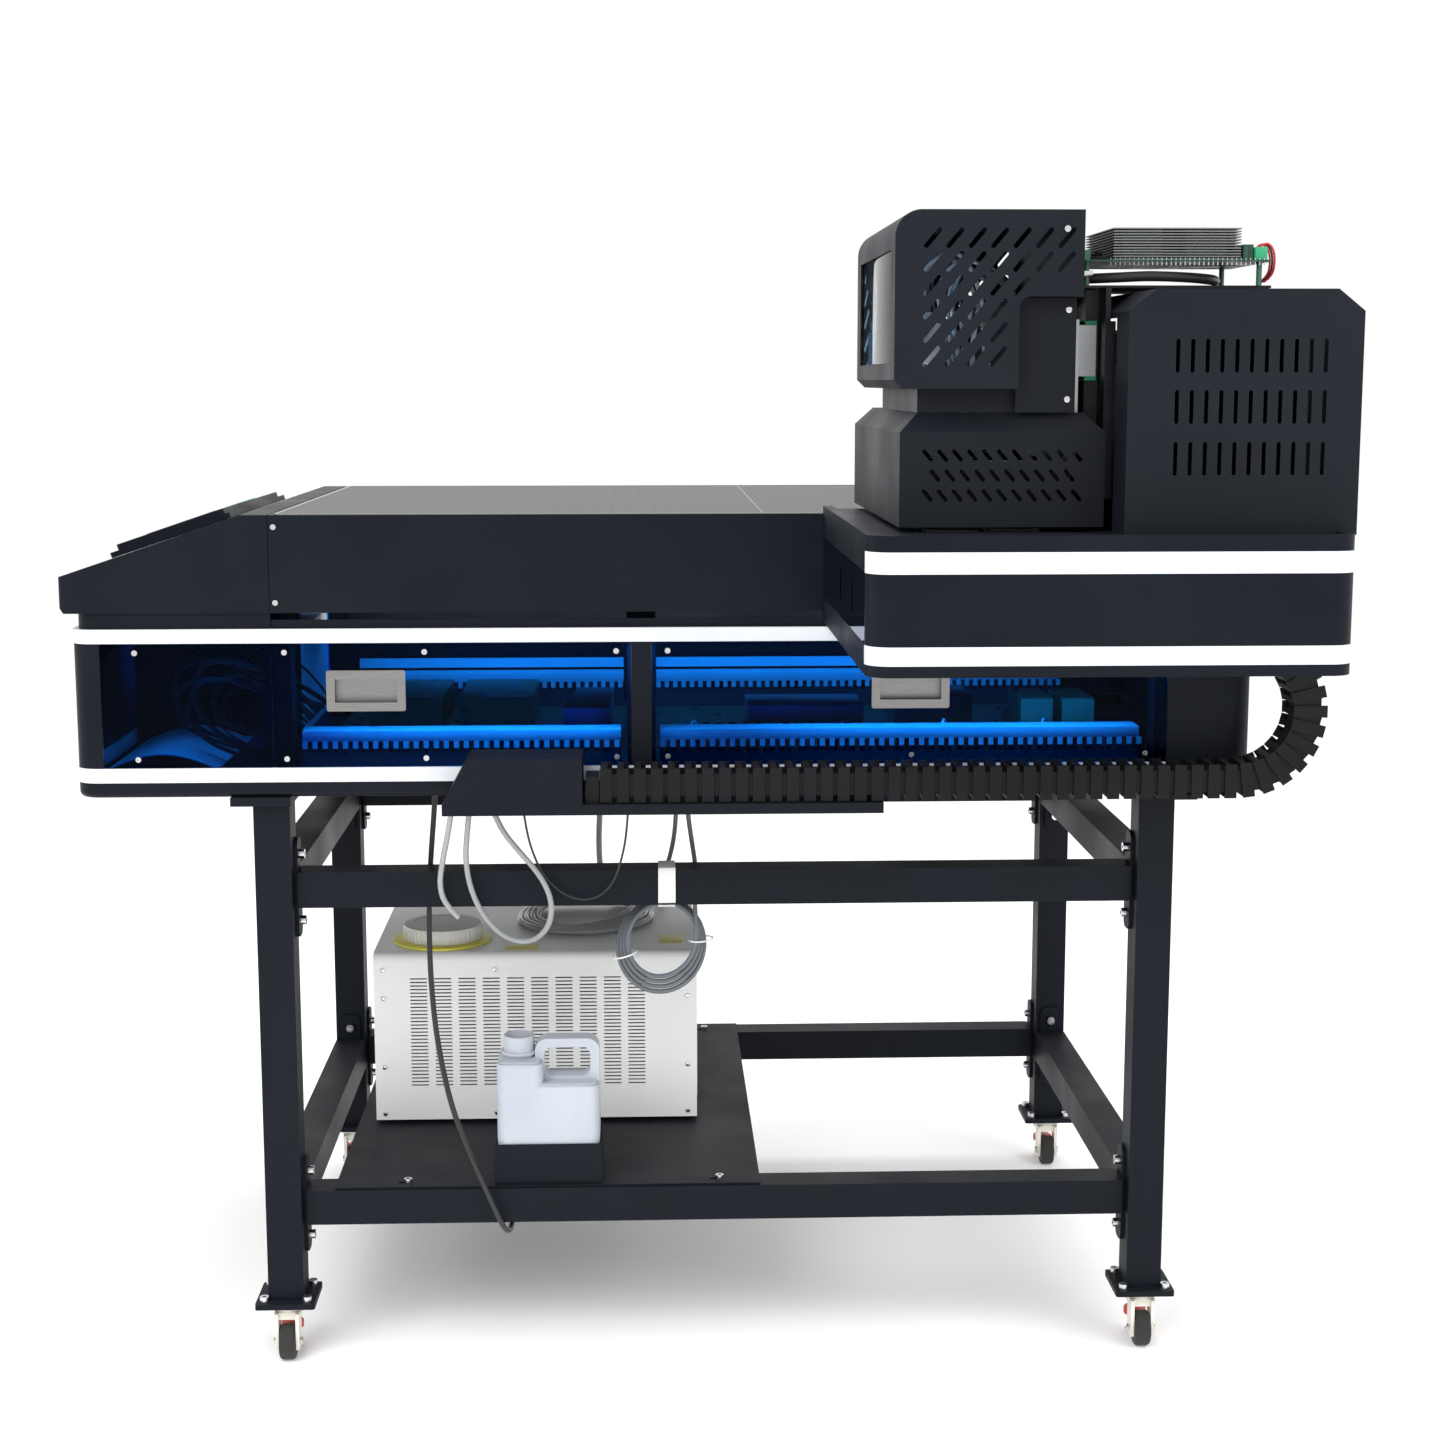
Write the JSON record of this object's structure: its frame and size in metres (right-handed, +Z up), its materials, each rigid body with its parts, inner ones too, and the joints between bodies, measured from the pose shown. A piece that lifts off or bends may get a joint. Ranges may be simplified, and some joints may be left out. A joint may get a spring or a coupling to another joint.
{
  "type": "flatbed uv printer",
  "caption": "Flatbed ultraviolet printer on a rolling stand, with a travelling gantry, lifting print head, drag chain, shelf chiller and waste jug.",
  "frame": {"origin": "middle of the machine's footprint, on the floor", "axes": "+X from the operator's end towards the drag chain's bend, +Y across the table away from the end box side, +Z up"},
  "size_m": [1.7068, 1.542, 1.569],
  "materials": {
    "cream_plastic": "moulded",
    "white_paint": "satin powder coat",
    "black_paint": "fine texture powder coat",
    "anodised": "satin",
    "dark_anodised": "satin",
    "steel": "ground",
    "bright_steel": "plated",
    "tinted_acrylic": "clear blue tint",
    "led_diffuser": "white silicone",
    "black_plastic": "moulded",
    "duct_white": "moulded",
    "jug_plastic": "translucent natural",
    "hose_clear": "clear vinyl",
    "cable_grey": "sheath",
    "cable_black": "sheath",
    "wheel_rubber": "smooth",
    "red_plastic": "moulded",
    "board_green": "solder mask",
    "cap_white": "moulded"
  },
  "bodies": {
    "stand": {"stand_legs": "black_paint", "stand_rails": "black_paint", "rail_brackets": "black_paint", "fasteners": "bright_steel", "shelf_plate": "black_paint", "chiller_body": "white_paint", "base_pan": "black_paint", "front_casing": "black_paint", "side_panels": "black_paint", "rear_casing": "black_paint", "body_frame": "dark_anodised", "led_strips": "led_diffuser", "acrylic_panels": "tinted_acrylic", "door_handles": "steel", "table_plate": "anodised", "control_panel": "black_paint", "electronics_bay": "board_green", "wiring_ducts": "duct_white", "gantry_rails": "steel", "drive_motor": "black_plastic", "chain_tray": "black_paint", "chain_end_cover": "black_paint", "chain_lower_run": "black_plastic", "hose_coil": "hose_clear", "cable_coil": "cable_grey", "hanging_lines": "hose_clear", "black_lead": "cable_black"},
    "gantry": {"gantry_arms": "dark_anodised", "end_box": "black_paint", "end_box_window": "tinted_acrylic", "gantry_led_strips": "led_diffuser", "far_end_box": "black_paint", "gantry_beam": "dark_anodised", "beam_cover": "black_paint", "capping_station": "steel", "chain_upper_run": "black_plastic"},
    "carriage": {"carriage_plate": "dark_anodised", "head_board": "board_green", "heat_sink": "anodised"},
    "head": {"head_plate": "anodised", "print_heads": "black_plastic", "head_cover_lower": "black_paint", "head_cover_upper": "black_paint"},
    "chain_bend": {"chain_loop": "black_plastic"},
    "gantry_screw": {"drive_screw": "steel"},
    "head_screw": {"lift_screw": "steel"},
    "filler_cap": {"chiller_cap": "cap_white"},
    "waste_jug": {"jug": "jug_plastic"},
    "swivel_1": {"caster_fork_1": "cream_plastic"},
    "wheel_1": {"caster_wheel_1": "wheel_rubber"},
    "foot_1": {"levelling_foot_1": "red_plastic"},
    "swivel_2": {"caster_fork_2": "cream_plastic"},
    "wheel_2": {"caster_wheel_2": "wheel_rubber"},
    "foot_2": {"levelling_foot_2": "red_plastic"},
    "swivel_3": {"caster_fork_3": "cream_plastic"},
    "wheel_3": {"caster_wheel_3": "wheel_rubber"},
    "foot_3": {"levelling_foot_3": "red_plastic"},
    "swivel_4": {"caster_fork_4": "cream_plastic"},
    "wheel_4": {"caster_wheel_4": "wheel_rubber"},
    "foot_4": {"levelling_foot_4": "red_plastic"}
  },
  "joints": [
    {"name": "gantry_slide", "type": "slide", "parent": "stand", "child": "gantry", "axis": [-1, 0, 0], "range_m": [0, 0.85], "deforming": ["chain_lower_run", "chain_upper_run", "chain_loop"]},
    {"name": "chain_follow", "type": "slide", "parent": "stand", "child": "chain_bend", "axis": [-1, 0, 0], "range_m": [0, 0.425]},
    {"name": "carriage_slide", "type": "slide", "parent": "gantry", "child": "carriage", "axis": [0, 1, 0], "range_m": [0, 0.8]},
    {"name": "head_lift", "type": "slide", "parent": "carriage", "child": "head", "axis": [0, 0, 1], "range_m": [0, 0.035]},
    {"name": "lift_screw_turn", "type": "hinge", "parent": "carriage", "child": "head_screw", "pos_m": [0.45075, -0.4265, 1.246], "axis": [0, 0, 1], "range_deg": [0, 2520]},
    {"name": "drive_screw_turn", "type": "hinge", "parent": "stand", "child": "gantry_screw", "pos_m": [-0.59375, -0.111, 1.085], "axis": [1, 0, 0], "range_deg": [0, 15300]},
    {"name": "cap_lift", "type": "slide", "parent": "stand", "child": "filler_cap", "axis": [0, 0, 1], "range_m": [0, 0.06]},
    {"name": "jug_lift", "type": "slide", "parent": "stand", "child": "waste_jug", "axis": [0, 0, 1], "range_m": [0, 0.12]},
    {"name": "caster_swivel_1", "type": "hinge", "parent": "stand", "child": "swivel_1", "pos_m": [-0.57875, -0.1215, 0.082], "axis": [0, 0, 1], "continuous": true},
    {"name": "wheel_spin_1", "type": "hinge", "parent": "swivel_1", "child": "wheel_1", "pos_m": [-0.57875, -0.1375, 0.025], "axis": [1, 0, 0], "continuous": true},
    {"name": "foot_screw_1", "type": "slide", "parent": "swivel_1", "child": "foot_1", "axis": [0, 0, -1], "range_m": [0, 0.006]},
    {"name": "caster_swivel_2", "type": "hinge", "parent": "stand", "child": "swivel_2", "pos_m": [-0.57875, 0.6465, 0.082], "axis": [0, 0, 1], "continuous": true},
    {"name": "wheel_spin_2", "type": "hinge", "parent": "swivel_2", "child": "wheel_2", "pos_m": [-0.57875, 0.6305, 0.025], "axis": [1, 0, 0], "continuous": true},
    {"name": "foot_screw_2", "type": "slide", "parent": "swivel_2", "child": "foot_2", "axis": [0, 0, -1], "range_m": [0, 0.006]},
    {"name": "caster_swivel_3", "type": "hinge", "parent": "stand", "child": "swivel_3", "pos_m": [0.64725, -0.1215, 0.082], "axis": [0, 0, 1], "continuous": true},
    {"name": "wheel_spin_3", "type": "hinge", "parent": "swivel_3", "child": "wheel_3", "pos_m": [0.64725, -0.1375, 0.025], "axis": [1, 0, 0], "continuous": true},
    {"name": "foot_screw_3", "type": "slide", "parent": "swivel_3", "child": "foot_3", "axis": [0, 0, -1], "range_m": [0, 0.006]},
    {"name": "caster_swivel_4", "type": "hinge", "parent": "stand", "child": "swivel_4", "pos_m": [0.64725, 0.6465, 0.082], "axis": [0, 0, 1], "continuous": true},
    {"name": "wheel_spin_4", "type": "hinge", "parent": "swivel_4", "child": "wheel_4", "pos_m": [0.64725, 0.6305, 0.025], "axis": [1, 0, 0], "continuous": true},
    {"name": "foot_screw_4", "type": "slide", "parent": "swivel_4", "child": "foot_4", "axis": [0, 0, -1], "range_m": [0, 0.006]}
  ],
  "couplings": [
    {"joint": "chain_follow", "follows": "gantry_slide", "ratio": 0.5},
    {"joint": "drive_screw_turn", "follows": "gantry_slide", "rad_per_m": 314.16},
    {"joint": "lift_screw_turn", "follows": "head_lift", "rad_per_m": 1256.6}
  ]
}
